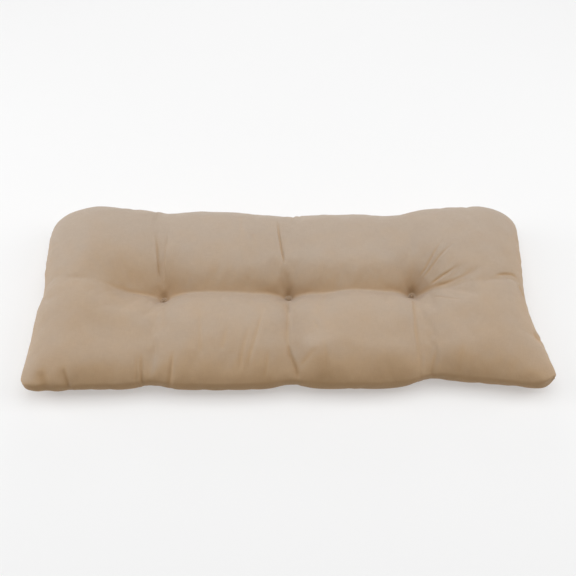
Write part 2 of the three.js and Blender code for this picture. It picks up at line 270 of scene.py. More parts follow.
# The knots' threads, in millimetres, the share of a step by which their directions are turned, and
# the angle from the top at which they end.
THREAD_RADIUS = 0.65
THREAD_SIDES = 12
THREAD_PLIES = 3
THREAD_PLY = 0.16
THREAD_TWIST = 5
CORE_SIDES = 32
CORE_STEPS = 8
KNOT_STRANDS = 5
KNOT_TURN = 0.3
KNOT_SWING = math.radians(88)
STRAND_STEPS = 41
STRAND_STACK = 0.12
STRAND_OFFSET = 0.5
WINDING_TURNS = 2
WINDING_STEPS = 97

# The cloth's colours, from lit to shaded, and how deep its tone is: painted shade by the way the cover
# faces (paler facing up, back or to a side), painted shade in the creases, and deeper by its place
# towards the front.
CLOTH_LIT = (0.431, 0.343, 0.266, 1)
CLOTH_HALF_SHADED = (0.478, 0.328, 0.198, 1)
CLOTH_SHADED = (0.420, 0.258, 0.123, 1)
FACING_SHADE_START = 0.73
FACING_SHADE_UP = 0.63
FACING_SHADE_BACK = 0.17
FACING_SHADE_LEFT = 0.26
FACING_SHADE_RIGHT = 0.1
TONE_FRONT_PLACE = 0.13
CREASE_SHADE = 0.06

# Where the cloth's tone is deeper: beside the left tuft, and low on the front edge, where the deeper
# tone is painted shade.
Patch = namedtuple("Patch", "x y tone wide deep")
DEEPER_PATCHES = [Patch(-390, 0, 0.1, 110, 110), Patch(60, -235, 0.12, 460, 22)]

# The cloth's patterns: how closely each repeats, how far it changes the tone or the light, and how
# high it stands. Pitches and heights are in metres, and the scales are repeats to the metre.
MOTTLE_SCALE = 22
MOTTLE_TONE = 0.25
FINE_MOTTLE_SCALE = 90
FINE_MOTTLE_LIGHT = 0.06
SLUB_SCALES = (1100, 55)
SLUB_LIGHT = 0.2
SLUB_HEIGHT = 0.00012
SLUB_RANGE = (0.3, 0.7)
WEAVE_PITCH = 0.00095
WEAVE_WOBBLE = 0.0004
WEAVE_WOBBLE_SCALE = 60
WEAVE_FLATNESS = 0.5
WEAVE_MIDDLE = 0.6
# The weave's painted highlight: how much lighter its raised crossings are made.
WEAVE_HIGHLIGHT = 0.08
WEAVE_HEIGHT = 0.00012
WRINKLE_SCALE = 75
WRINKLE_HEIGHT = 0.0004
CLOTH_ROUGHNESS = (0.95, 0.8)
CLOTH_SHEEN = 0.15
CLOTH_SHEEN_ROUGHNESS = 0.5
CLOTH_SPECULAR = 0.3

# The thread's colours, its fibres and its finish.
THREAD_PALE = (0.46, 0.34, 0.23, 1)
THREAD_DEEP = (0.34, 0.235, 0.145, 1)
FIBRE_SCALE = 1800
FIBRE_HEIGHT = 0.00012
THREAD_ROUGHNESS = (0.7, 0.95)
THREAD_SHEEN = 0.2

# The floor's grey and its slight glow, and the light of the studio round it, which is pale where it
# is seen itself.
WHITE = (1, 1, 1, 1)
FLOOR_REACH = 20
FLOOR_COLOUR = (0.5, 0.5, 0.5, 1)
FLOOR_GLOW = 0.4
STUDIO_LIGHT = 0.05
STUDIO_SEEN = 0.6

# The lamps, in metres and watts.
Lamp = namedtuple("Lamp", "name place size energy")
LAMPS = [
    Lamp("overhead", (0, 0, 3), 3, 61),
    Lamp("left_high", (-2.4, 0, 2), 2, 25),
    Lamp("right_high", (2.4, 0, 2), 2, 33),
    Lamp("back_low", (0, 3, 0.9), 1.6, 24),
    Lamp("left_low", (-2.8, 0.3, 0.8), 1.6, 25),
    Lamp("right_low", (2.8, 0.3, 0.8), 1.6, 10.5),
]

# The camera looks at the cushion from its front and from above. Its place is in metres, and its
# sensor in millimetres.
CAMERA_ELEVATION = math.radians(52)
CAMERA_ROLL = math.radians(-0.35)
CAMERA_DISTANCE = 1.985
CAMERA_TARGET = Vector((0.0002, 0.003, 0.062))
CAMERA_SENSOR = 36
FOCAL_PIXELS = 882
PICTURE_PIXELS = 576


def bump(distance, width):
    return np.exp(-((distance / width) ** 2))


def smoothstep(x, low, high):
    t = np.clip((x - low) / (high - low), 0, 1)
    return t * t * (3 - 2 * t)


def softened(distance, radius):
    """A distance that starts gently, as if from a rounded edge."""
    return np.hypot(distance, radius) - radius


def between(ends, share):
    return ends[0] + (ends[1] - ends[0]) * share


def wave(along, rows):
    return sum(row.out * bump(along - row.at, row.width) for row in rows)


def into_band(v, half, band):
    """0 inside the band and 1 at the edge."""
    return np.clip((np.abs(v) - (half - band)) / band, 0, 1)


def to_stretch(x, y, start, end):
    """The signed distance to a straight stretch, and how far along it the nearest point is."""
    dx, dy = end[0] - start[0], end[1] - start[1]
    along = np.clip(((x - start[0]) * dx + (y - start[1]) * dy) / (dx * dx + dy * dy), 0, 1)
    off_x, off_y = x - start[0] - along * dx, y - start[1] - along * dy
    side = np.sign(dx * off_y - dy * off_x)
    return side * np.hypot(off_x, off_y), along


def cross_fold_depth(x, y, fold):
    """A trough that is deepest on its line, with a rounded bottom, and level at its reach."""
    tuft = TUFTS[fold.tuft]
    distance, along = to_stretch(x, y, (tuft.x, tuft.y), (fold.x, fold.y))
    is_right = distance * (tuft.y - fold.y) > 0
    reach = between(fold.reach, along) * np.where(is_right, fold.spread[1], fold.spread[0])
    trough = np.clip(1 - softened(distance, fold.rounding) / reach, 0, 1) ** 2
    return between(fold.depth, along) * trough


def gather(x, y):
    """Points near a tuft read the folds as if they were closer to it, so its pit has a flat floor."""
    for tuft in TUFTS:
        r = np.hypot(x - tuft.x, y - tuft.y)
        drawn = PIT_RADIUS * np.exp(-np.maximum(r - PIT_RADIUS, 0) / GATHER_REACH)
        kept = np.where(r > drawn, 1 - drawn / np.maximum(r, 1e-9), 0)
        x, y = tuft.x + (x - tuft.x) * kept, tuft.y + (y - tuft.y) * kept
    return x, y


def along_valley(x, column):
    """One column of the valley's table at x, eased from each turning point to the next."""
    count = np.arange(len(VALLEY))
    place = np.interp(x, [turn.x for turn in VALLEY], count)
    start = np.floor(place)
    eased = start + smoothstep(place - start, 0, 1)
    return np.interp(eased, count, [getattr(turn, column) for turn in VALLEY])


def valley_depth(x, y):
    """The valley alone: deepest on its line, and level at its reach."""
    pulled = sum(np.exp(-softened(x - tuft.x, TUFT_ROUNDING) / TUFT_REACH) for tuft in TUFTS)
    depth = along_valley(x, "depth") * (1 + TUFT_PULL * pulled)
    off = y - along_valley(x, "y")
    steepness = np.where(off < 0, VALLEY_FRONT_STEEPNESS, along_valley(x, "steepness"))
    share = np.clip(1 - softened(off, VALLEY_ROUNDING) / along_valley(x, "reach"), 0, 1)
    return depth * share ** steepness


def pull(x, y):
    """How far the sewing pulls the upper sheet below the crown."""
    depths = [valley_depth(x, y)] + [cross_fold_depth(x, y, fold) for fold in CROSS_FOLDS]
    total = sum(depth ** FOLD_BLEND for depth in depths) ** (1 / FOLD_BLEND)
    for tuft in TUFTS:
        away = np.hypot(x - tuft.x, y - tuft.y)
        total = total + CONE_DEPTH * np.exp(-away / CONE_REACH) + PIT_DEPTH * bump(away, PIT_WALL)
    return total


def crown(y):
    """The filling falls away gently from the tufts to the front."""
    share = np.clip((FRONT_DROP_FROM - y) / (FRONT_DROP_FROM + HALF_DEPTH), 0, 1)
    return CROWN_HEIGHT - FRONT_DROP * share ** FRONT_DROP_BEND


def puff(x, y):
    """How far the filling stands above or below the crown."""
    return sum(p.rise * bump(x - p.x, p.wide) * bump(y - p.y, p.deep) for p in PUFFS)


def plan(u, v):
    """Where a point of the flat, unsewn rectangle (u, v) lies on the filled cushion's plan."""
    p = into_band(u, HALF_LENGTH, SHOULDER)
    q = into_band(v, HALF_DEPTH, np.where(v < 0, FRONT_SHOULDER, SHOULDER))
    slope = np.where(u < 0, *FRONT_CORNER_SLOPES)
    past = np.where(u < 0, *FRONT_CORNER_FOLDS) - (HALF_LENGTH - np.abs(u)) - slope * (HALF_DEPTH + v)
    fold = (past + np.hypot(past, FRONT_CORNER_SOFTNESS)) / 2 / (1 + slope ** 2)
    cut = np.where(v > 0, np.where(u < 0, *BACK_CORNER_CUTS), 0)
    cut_u = cut * p * q ** BACK_CORNER_SPREAD
    cut_v = cut * q * p ** BACK_CORNER_SPREAD
    line = along_valley(u, "y")
    x = u - np.sign(u) * (cut_u + fold)
    y = v + line * (1 - (v / HALF_DEPTH) ** 2) - cut_v + slope * fold
    near_side = smoothstep(np.abs(u), HALF_LENGTH - SIDE_WAVE_FADE, HALF_LENGTH)
    near_end = smoothstep(np.abs(v), HALF_DEPTH - END_WAVE_FADE, HALF_DEPTH)
    side = np.where(u < 0, wave(y, EDGE_WAVES["left"]), wave(y, EDGE_WAVES["right"]))
    end = np.where(v < 0, wave(x, EDGE_WAVES["front"]), wave(x, EDGE_WAVES["back"]))
    return x + np.sign(u) * near_side * side, y + np.sign(v) * near_end * end, p, q


def rounding(p, q, rise, fullness, v):
    """0 at the seam and 1 inside the band, rounded over; the front corners are filled out a little."""
    filled = fullness + np.where(v < 0, FRONT_CORNER_FILLING * (p * q) ** 2, 0)
    return ((1 - p ** rise) * (1 - q ** rise)) ** (1 / filled)


def upper_sheet(u, v):
    x, y, p, q = plan(u, v)
    sewn = gather(x, y)
    height = crown(sewn[1]) - SEAM_HEIGHT + puff(*sewn) - pull(*sewn)
    shoulder = rounding(p, q, SHOULDER_RISE, SHOULDER_FULLNESS, v)
    return np.stack([x, y, SEAM_HEIGHT + height * shoulder], -1)


def lower_sheet(u, v):
    x, y, _, _ = plan(u, v)
    p = into_band(u, HALF_LENGTH, UNDER_BAND)
    q = into_band(v, HALF_DEPTH, UNDER_BAND)
    curl = rounding(p, q, UNDER_RISE, UNDER_FULLNESS, v)
    return np.stack([x, y, np.maximum(SEAM_HEIGHT * (1 - curl * UNDER_PRESS), 0)], -1)


def stations(half, edge_steps, spacing, fine=None, zones=()):
    """Places of the points across the cushion: crowded at the edges and in the finer zones."""
    inner = half - EDGE_BAND
    run = np.linspace(-inner, inner, ZONE_SAMPLES)
    share = np.zeros_like(run)
    for low, high in zones:
        outside = np.maximum(np.maximum(low - run, run - high), 0)
        share = np.maximum(share, 1 - smoothstep(outside, 0, ZONE_BLEND))
    crowding = (1 - share) / spacing + (share / fine if fine else 0)
    counted = np.concatenate([[0], np.cumsum((crowding[1:] + crowding[:-1]) / 2 * np.diff(run))])
    count = 2 * round(counted[-1] / 2)
    inside = np.interp(np.linspace(0, counted[-1], count + 1), counted, run)
    turn = np.linspace(0, math.pi / 2, edge_steps + 1)[:-1]
    edge = half - EDGE_BAND * (1 - np.cos(turn))
    return np.sort(np.concatenate([edge, -edge, inside]))


def normals(points):
    """Unit normals of a grid of points, pointing to the side from which i, j turn anticlockwise."""
    along = np.gradient(points, axis=0)
    across = np.gradient(points, axis=1)
    normal = np.cross(along, across)
    return normal / np.maximum(np.linalg.norm(normal, axis=-1, keepdims=True), 1e-9)


def arc_lengths(points, axis, from_start=False):
    """How far along the cloth each point lies from the grid's middle line, or from its first one."""
    steps = np.linalg.norm(np.diff(points, axis=axis), axis=-1)
    first = np.zeros_like(np.take(steps, [0], axis=axis))
    length = np.cumsum(np.concatenate([first, steps], axis=axis), axis=axis)
    if from_start:
        return length
    return length - np.take(length, [length.shape[axis] // 2], axis=axis)


def resampled(grid, places, wanted, axis):
    """A coarse grid's values at the wanted places along one axis, smoothed by cubic steps."""
    index = np.interp(wanted, places, np.arange(len(places)))
    base = np.clip(np.floor(index).astype(int), 0, len(places) - 2)
    shape = [1] * grid.ndim
    shape[axis] = len(wanted)
    t = (index - base).reshape(shape)
    weights = [
        (1 - t) ** 3 / 6, (3 * t ** 3 - 6 * t ** 2 + 4) / 6,
        (-3 * t ** 3 + 3 * t ** 2 + 3 * t + 1) / 6, t ** 3 / 6,
    ]
    picks = [np.take(grid, np.clip(base + k, 0, len(places) - 1), axis=axis) for k in (-1, 0, 1, 2)]
    return sum(weight * pick for weight, pick in zip(weights, picks))


def crease_relief(x, y):
    """How far the creases move the cover out along its normal."""
    relief = np.zeros_like(x)
    for crease in CREASES:
        route = np.array(crease.route, float)
        lengths = np.hypot(*np.diff(route, axis=0).T)
        total = lengths.sum()
        reach = CREASE_REACH * max(crease.widths)
        low, high = route.min(0) - reach, route.max(0) + reach
        near = (x > low[0]) & (x < high[0]) & (y > low[1]) & (y < high[1])
        if not near.any():
            continue
        px, py = x[near], y[near]
        distance = np.full(px.shape, 1e9)
        along = np.zeros(px.shape)
        walked = 0
        for start, end, length in zip(route, route[1:], lengths):
            away, t = to_stretch(px, py, start, end)
            closer = np.abs(away) < np.abs(distance)
            distance = np.where(closer, away, distance)
            along = np.where(closer, (walked + t * length) / total, along)
            walked += length
        taper = smoothstep(along, 0, CREASE_START) * (1 - smoothstep(along, 1 - CREASE_TAIL, 1))
        off = distance / between(crease.widths, along)
        trough = (1 - CREASE_SHOULDER * off ** 2) * bump(off, 1)
        leaning = off * bump(off, CREASE_LEAN_SPREAD)
        relief[near] += taper * (crease.lean * leaning - crease.depth * trough)
    return relief


def uneven(x, y, waves):
    """A gentle, repeatable unevenness of about unit height, made of plane waves."""
    random = np.random.default_rng(waves.seed)
    total = np.zeros_like(x)
    for _ in range(waves.count):
        length = random.uniform(waves.shortest, waves.longest)
        heading, phase = random.uniform(0, 2 * math.pi, 2)
        total += np.sin(2 * math.pi * (x * math.cos(heading) + y * math.sin(heading)) / length + phase)
    return total / math.sqrt(waves.count)


def seam_share(u, v):
    """1 on the sides and the back, where the two sheets are sewn, and 0 along the folded front."""
    past_front = smoothstep(v, -HALF_DEPTH, -HALF_DEPTH + SEAM_FROM_FRONT)
    return np.maximum(past_front, into_band(u, HALF_LENGTH, SEAM_END_BAND))


def on_rim(shape):
    rim = np.ones(shape, bool)
    rim[1:-1, 1:-1] = False
    return rim


def under_faces(index, rows, columns):
    """Faces between the kept rows and columns of the lower sheet, with every point of its rim."""
    last_i, last_j = index.shape[0] - 1, index.shape[1] - 1
    faces = []
    for i0, i1 in zip(rows, rows[1:]):
        for j0, j1 in zip(columns, columns[1:]):
            left, right = (1 if i0 == 0 else j1 - j0), (1 if i1 == last_i else j1 - j0)
            front, back = (1 if j0 == 0 else i1 - i0), (1 if j1 == last_j else i1 - i0)
            faces.append([
                *index[i0, j0:j1:left], *index[i0:i1:back, j1],
                *index[i1, j1:j0:-right], *index[i1:i0:-front, j0],
            ])
    return faces


def closed_mesh(upper, lower, rows, columns):
    """One closed mesh of two sheets that share their rim: its points, and its faces in the order
    upper, lower, with the place in the grid of each of their corners."""
    shape = upper.shape[:2]
    index = np.arange(shape[0] * shape[1]).reshape(shape)
    above = np.stack([index[:-1, :-1], index[1:, :-1], index[1:, 1:], index[:-1, 1:]], -1)
    above = above.reshape(-1, 4).tolist()
    below = under_faces(index, rows, columns)
    kept = np.zeros(shape, bool)
    kept[np.ix_(rows, columns)] = True
    kept &= ~on_rim(shape)
    lower_ids = index.copy()
    lower_ids[kept] = index.size + np.arange(kept.sum())
    points = np.concatenate([upper.reshape(-1, 3), lower[kept]])
    joined = lower_ids.ravel()
    faces = above + [[int(joined[corner]) for corner in face] for face in below]
    return points, faces, above, below


def new_object(name, points, faces):
    mesh = bpy.data.meshes.new(name)
    mesh.from_pydata(np.asarray(points, float) * MM, [], faces)
    mesh.update()
    mesh.polygons.foreach_set("use_smooth", [True] * len(mesh.polygons))
    made = bpy.data.objects.new(name, mesh)
    bpy.context.scene.collection.objects.link(made)
    return made


def settling(us, vs):
    """How far a cloth simulation moves the two sheets, at the points of a coarser grid."""
    u, v = np.meshgrid(us, vs, indexing="ij")
    upper, lower = upper_sheet(u, v), lower_sheet(u, v)
    rows, columns = list(range(len(us))), list(range(len(vs)))
    points, faces, _, _ = closed_mesh(upper, lower, rows, columns)
    cover = new_object("settling", points, faces)

    x, y = upper[..., 0].ravel(), upper[..., 1].ravel()
    held = on_rim(u.shape).ravel()
    in_valley = np.abs(y - along_valley(x, "y")) < SETTLE_PIN_VALLEY
    held |= in_valley & (along_valley(x, "depth") > SETTLE_PIN_DEPTH)
    for tuft in TUFTS:
        held |= np.hypot(x - tuft.x, y - tuft.y) < SETTLE_PIN_RADIUS
    held = np.concatenate([held, points[u.size:, 2] < UNDER_RESTING])
    group = cover.vertex_groups.new(name="held")
    group.add([int(k) for k in np.where(held)[0]], 1.0, "REPLACE")

    modifier = cover.modifiers.new("settle", "CLOTH")
    cloth = modifier.settings
    cloth.vertex_group_mass = group.name
    cloth.quality = SETTLE_QUALITY
    cloth.shrink_min = -SETTLE_SLACK
    cloth.use_pressure = True
    cloth.uniform_pressure_force = SETTLE_PRESSURE
    cloth.effector_weights.gravity = 0
    modifier.collision_settings.use_collision = False
    modifier.point_cache.frame_end = SETTLE_FRAMES
    scene = bpy.context.scene
    for step in range(1, SETTLE_FRAMES + 1):
        scene.frame_set(step)
    settled = cover.evaluated_get(bpy.context.evaluated_depsgraph_get())
    places = np.empty(len(points) * 3)
    settled.data.vertices.foreach_get("co", places)
    scene.frame_set(1)
    bpy.data.objects.remove(cover)

    moves = places.reshape(-1, 3) / MM - points
    length = np.linalg.norm(moves, axis=1, keepdims=True)
    moves *= SETTLE_CAP * np.tanh(length / SETTLE_CAP) / np.maximum(length, 1e-9)
    above = moves[:u.size].reshape(*u.shape, 3)
    below = above.copy()
    below[~on_rim(u.shape)] = moves[u.size:]
    return above, below


def settled_sheets(us, vs):
    """The two sheets at the fine grid, moved as the simulation moves the coarse one."""
    u, v = np.meshgrid(us, vs, indexing="ij")
    sheets = [upper_sheet(u, v), lower_sheet(u, v)]
    coarse_us = stations(HALF_LENGTH, SETTLE_EDGE_STEPS, SETTLE_SPACING)
    coarse_vs = stations(HALF_DEPTH, SETTLE_EDGE_STEPS, SETTLE_SPACING)
    for sheet, moves in zip(sheets, settling(coarse_us, coarse_vs)):
        sheet += resampled(resampled(moves, coarse_us, us, 0), coarse_vs, vs, 1)
    return sheets


def finished_sheet(points, u, v, is_upper):
    """Adds the seam, its puckers, the creases and the general unevenness to a sheet."""
    normal = normals(points)
    if not is_upper:
        normal = -normal
    for edge in (np.s_[0], np.s_[-1], np.s_[:, 0], np.s_[:, -1]):
        level = normal[edge].copy()
        level[..., 2] = 0
        normal[edge] = level / np.maximum(np.linalg.norm(level, axis=-1, keepdims=True), 1e-9)
    x, y = points[..., 0], points[..., 1]
    rim_u = HALF_LENGTH - np.abs(u)
    rim_v = HALF_DEPTH - np.abs(v)
    from_rim = np.minimum(rim_u, rim_v)
    cloth_from_rim = np.sqrt(from_rim * (from_rim + SHOULDER / 2))
    sewn = seam_share(u, v)
    relief = sewn * (
        SEAM_RIDGE * bump(cloth_from_rim - SEAM_RIDGE_AT, SEAM_RIDGE_WIDTH)
        - SEAM_GROOVE * bump(cloth_from_rim, SEAM_GROOVE_WIDTH)
    )
    round_rim = np.where(rim_u < rim_v, v, u)
    puckers = uneven(round_rim, 0 * round_rim, PUCKER_WAVES)
    relief = relief + sewn * PUCKER_DEPTH * puckers * np.exp(-cloth_from_rim / PUCKER_FADE)
    under = 1 if is_upper else np.exp(-cloth_from_rim / CREASE_UNDER_FADE)
    creases = under * crease_relief(x, y)
    relief = relief + creases + under * UNEVENNESS * uneven(x, y, SURFACE_WAVES)
    if is_upper:
        for tuft in TUFTS:
            away = np.hypot(x - tuft.x, y - tuft.y)
            relief = relief - MOAT_DEPTH * bump(away - MOAT_RADIUS, MOAT_WIDTH)
    moved = points + normal * relief[..., None]
    if not is_upper:
        for tuft in TUFTS:
            away = np.hypot(x - tuft.x, y - tuft.y)
            moved[..., 2] += DIMPLE_DEPTH * bump(away, DIMPLE_REACH)
    moved[..., 2] = np.maximum(moved[..., 2], 0)
    return moved, creases


def tone(points, creases, is_upper):
    """How deep the cloth's colour is, as painted shade: 0 on the crown and where the cover faces up,
    back or to a side, 1 in the folds and under the front, where it faces away from the lamps.
    """
    normal = normals(points) * (1 if is_upper else -1)
    # Painted shade by the way the cover faces: paler where it faces up, back or to a side.
    sideways = np.maximum(FACING_SHADE_RIGHT * normal[..., 0], -FACING_SHADE_LEFT * normal[..., 0])
    facing = FACING_SHADE_START - FACING_SHADE_UP * normal[..., 2] - FACING_SHADE_BACK * normal[..., 1] - sideways
    x, y = points[..., 0], points[..., 1]
    # Deeper tone in patches; the strip low on the front edge is painted shade.
    deeper_in_patches = sum(p.tone * bump(x - p.x, p.wide) * bump(y - p.y, p.deep) for p in DEEPER_PATCHES)
    # Painted shade in the creases' troughs, lighter on their ridges, and deeper towards the front.
    return np.clip(facing + deeper_in_patches - TONE_FRONT_PLACE * y / HALF_DEPTH - CREASE_SHADE * creases, 0, 1)


def kept_lines(count):
    """The underside keeps every line of the grid near its edges, and every second one inside."""
    inside = range(EDGE_STEPS, count - EDGE_STEPS, 2)
    return [*range(EDGE_STEPS), *inside, *range(count - EDGE_STEPS, count)]


def cushion_cover():
    us = stations(HALF_LENGTH, EDGE_STEPS, SPACING, FINE_SPACING, FINE_ALONG)
    vs = stations(HALF_DEPTH, EDGE_STEPS, SPACING, FINE_SPACING, FINE_ACROSS)
    u, v = np.meshgrid(us, vs, indexing="ij")
    upper, lower = settled_sheets(us, vs)
    upper, upper_creases = finished_sheet(upper, u, v, True)
    lower, lower_creases = finished_sheet(lower, u, v, False)
    rim = on_rim(u.shape)
    lower[rim] = upper[rim]

    rows, columns = [kept_lines(count) for count in u.shape]
    points, faces, above, below = closed_mesh(upper, lower, rows, columns)
    made = new_object("cushion_cover", points - SHIFT, faces)

    along, across = arc_lengths(upper, 0), arc_lengths(upper, 1)
    under_along = arc_lengths(lower, 0)
    under_across = across[:, :1] - arc_lengths(lower, 1, from_start=True)
    corners = [np.concatenate(above), np.concatenate(below)]
    cloth = np.concatenate([
        np.stack([along.ravel()[corners[0]], across.ravel()[corners[0]]], -1),
        np.stack([under_along.ravel()[corners[1]], under_across.ravel()[corners[1]]], -1),
    ])
    # The painted shade of each corner, from the way its sheet faces.
    tones = np.concatenate([
        tone(upper, upper_creases, True).ravel()[corners[0]],
        tone(lower, lower_creases, False).ravel()[corners[1]],
    ])
    made.data.attributes.new("cloth", "FLOAT2", "CORNER").data.foreach_set("vector", cloth.ravel())
    made.data.attributes.new("tone", "FLOAT", "CORNER").data.foreach_set("value", tones)
    return made


def twisted_thread(path, radius, reference):
    """A three-ply thread along a path, closed at both ends: its points and faces."""
    path = np.asarray(path, float)
    tangent = np.gradient(path, axis=0)
    tangent /= np.linalg.norm(tangent, axis=1, keepdims=True)
    side = np.cross(tangent, reference)
    side /= np.linalg.norm(side, axis=1, keepdims=True)
    other = np.cross(tangent, side)
    steps = np.linalg.norm(np.diff(path, axis=0), axis=1)
    along = np.concatenate([[0], np.cumsum(steps)])
    around = np.linspace(0, 2 * math.pi, THREAD_SIDES + 1)[:-1]
    twist = 2 * math.pi * along[:, None] / THREAD_TWIST
    out = radius * (1 + THREAD_PLY * np.cos(THREAD_PLIES * (around[None, :] - twist)))
    ring = side[:, None] * np.cos(around)[None, :, None] + other[:, None] * np.sin(around)[None, :, None]
    points = (path[:, None] + ring * out[..., None]).reshape(-1, 3)
    index = np.arange(len(points)).reshape(len(path), THREAD_SIDES)
    after = np.roll(index, -1, axis=1)
    walls = np.stack([index[:-1], index[1:], after[1:], after[:-1]], -1).reshape(-1, 4).tolist()
    return points, walls + [index[0].tolist(), index[-1, ::-1].tolist()]


def knot_core(radius, height):
    """The low dome that the threads are drawn over."""
    rise = np.linspace(0, math.pi / 2, CORE_STEPS + 1)[:-1]
    around = np.linspace(0, 2 * math.pi, CORE_SIDES + 1)[:-1]
    rings = [
        np.stack([radius * math.cos(t) * np.cos(around), radius * math.cos(t) * np.sin(around),
                  np.full(CORE_SIDES, height * math.sin(t))], -1)
        for t in rise
    ]
    points = np.concatenate([*rings, [[0, 0, height]]])
    index = np.arange(CORE_STEPS * CORE_SIDES).reshape(CORE_STEPS, CORE_SIDES)
    after = np.roll(index, -1, axis=1)
    faces = np.stack([index[:-1], after[:-1], after[1:], index[1:]], -1).reshape(-1, 4).tolist()
    top = len(points) - 1
    faces += [[int(a), int(b), top] for a, b in zip(index[-1], after[-1])]
    return points, faces + [index[0, ::-1].tolist()]


def knot_strands(radius, height):
    """Threads drawn over the dome from side to side, each a little off the middle."""
    for k in range(KNOT_STRANDS):
        heading = math.pi * (k + KNOT_TURN) / KNOT_STRANDS
        forward = np.array([math.cos(heading), math.sin(heading), 0])
        across = np.array([-math.sin(heading), math.cos(heading), 0])
        swing = np.linspace(-KNOT_SWING, KNOT_SWING, STRAND_STEPS)
        lift = height + k * STRAND_STACK
        offset = STRAND_OFFSET * (-1) ** k * np.cos(swing)
        path = (
            forward * (radius * np.sin(swing))[:, None] + across * offset[:, None]
            + np.array([0, 0, 1]) * (lift * np.maximum(np.cos(swing), 0))[:, None]
        )
        path[:, 2] += THREAD_RADIUS
        yield twisted_thread(path, THREAD_RADIUS, across)


def knot_winding(radius):
    """The thread wound round the foot of the knot."""
    turn = np.linspace(0, 2 * math.pi * WINDING_TURNS, WINDING_STEPS)
    rise = THREAD_RADIUS + 2 * THREAD_RADIUS * turn / (2 * math.pi)
    path = np.stack([radius * np.cos(turn), radius * np.sin(turn), rise], -1)
    return twisted_thread(path, THREAD_RADIUS, np.array([0.0, 0.0, 1.0]))


def tuft_knot(node):
    """A knot of thick thread in the space of its plain dome."""
    low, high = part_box(node)
    centre = np.array([(low.x + high.x) / 2, (low.y + high.y) / 2, low.z]) / MM
    radius = (high.x - low.x) / 2 / MM - THREAD_RADIUS
    height = (high.z - low.z) / MM - 2 * THREAD_RADIUS - KNOT_STRANDS * STRAND_STACK
    points, faces = [], []
    parts = [knot_core(radius, height), *knot_strands(radius, height), knot_winding(radius)]
    for part_points, part_faces in parts:
        start = sum(len(p) for p in points)
        points.append(part_points)
        faces += [[corner + start for corner in face] for face in part_faces]
    return new_object(node + "_knot", np.concatenate(points) + centre, faces)


def add_node(tree, kind, inputs=None, **settings):
    """A shader node with its settings; an input is a number, a colour or another node's output."""
    made = tree.nodes.new(kind)
    for name, value in settings.items():
        setattr(made, name, value)
    for name, value in (inputs or {}).items():
        if isinstance(value, bpy.types.NodeSocket):
            tree.links.new(value, made.inputs[name])
        else:
            made.inputs[name].default_value = value
    return made


def calculate(tree, operation, *values):
    return add_node(tree, "ShaderNodeMath", dict(enumerate(values)), operation=operation).outputs[0]


def varied(tree, start, pattern, middle, amount):
    """The start, raised or lowered as the pattern goes above or below its middle."""
    return calculate(tree, "MULTIPLY_ADD", calculate(tree, "SUBTRACT", pattern, middle), amount, start)


def mapped(tree, value, ends, source=(0, 1)):
    """A value that goes from one end to the other as the source does."""
    inputs = {"Value": value, "From Min": source[0], "From Max": source[1]}
    inputs.update({"To Min": ends[0], "To Max": ends[1]})
    return add_node(tree, "ShaderNodeMapRange", inputs).outputs[0]


def scaled(tree, vector, scale):
    return add_node(tree, "ShaderNodeVectorMath", {0: vector, 1: scale}, operation="MULTIPLY").outputs[0]


def noise(tree, vector, scale, detail=2.0):
    values = {"Vector": vector, "Scale": scale, "Detail": detail}
    return add_node(tree, "ShaderNodeTexNoise", values).outputs["Fac"]


def raised(tree, height, distance, under=None):
    values = {"Height": height, "Distance": distance, "Strength": 1.0}
    if under:
        values["Normal"] = under
    return add_node(tree, "ShaderNodeBump", values).outputs["Normal"]


def new_material(name):
    material = bpy.data.materials.new(name)
    material.use_nodes = True
    return material, material.node_tree, material.node_tree.nodes["Principled BSDF"]


def weave_height(tree, cloth):
    """A plain weave: a small hill where each thread passes over the one that crosses it."""
    values = {"Vector": cloth, "Scale": WEAVE_WOBBLE_SCALE, "Detail": 1.0}
    wobble = add_node(tree, "ShaderNodeTexNoise", values).outputs["Color"]
    moved = {0: cloth, 1: scaled(tree, wobble, (WEAVE_WOBBLE,) * 3)}
    bent = add_node(tree, "ShaderNodeVectorMath", moved, operation="ADD").outputs[0]
    turned = scaled(tree, bent, (math.pi / WEAVE_PITCH,) * 3)
    split = add_node(tree, "ShaderNodeSeparateXYZ", {0: turned})
    warp = calculate(tree, "SINE", split.outputs[0])
    weft = calculate(tree, "SINE", split.outputs[1])
    crossing = calculate(tree, "ABSOLUTE", calculate(tree, "MULTIPLY", warp, weft))
    return calculate(tree, "POWER", crossing, WEAVE_FLATNESS)


def slubs(tree, cloth):
    """Thicker stretches of thread, long and thin in both directions."""
    close, far = SLUB_SCALES
    directions = [(close, far, 0), (far, close, 0)]
    warp, weft = [noise(tree, scaled(tree, cloth, scale), 1.0) for scale in directions]
    return calculate(tree, "MULTIPLY", calculate(tree, "ADD", warp, weft), 0.5)


def cloth_colour(tree, depth, place, thick, weave):
    """The colour from lit to shaded by the painted shade, mottled, lighter where a thread is thick, and
    with a painted highlight where a thread stands up at the weave's crossings.
    """
    mottle = noise(tree, place, MOTTLE_SCALE, 3.0)
    deepened = varied(tree, depth, mottle, 0.5, MOTTLE_TONE)
    # The ramp turns the painted shade into colour: lit, half-shaded, shaded.
    ramp = add_node(tree, "ShaderNodeValToRGB", {"Fac": deepened})
    ramp.color_ramp.elements[0].color = CLOTH_LIT
    ramp.color_ramp.elements[1].color = CLOTH_SHADED
    ramp.color_ramp.elements.new(0.5).color = CLOTH_HALF_SHADED
    light = varied(tree, 1.0, thick, 0.5, SLUB_LIGHT)
    light = varied(tree, light, noise(tree, place, FINE_MOTTLE_SCALE), 0.5, FINE_MOTTLE_LIGHT)
    # Painted highlight where the weave's crossings stand up.
    light = varied(tree, light, weave, WEAVE_MIDDLE, WEAVE_HIGHLIGHT)
    values = {"Color": ramp.outputs["Color"], "Value": light}
    return add_node(tree, "ShaderNodeHueSaturation", values).outputs[0]


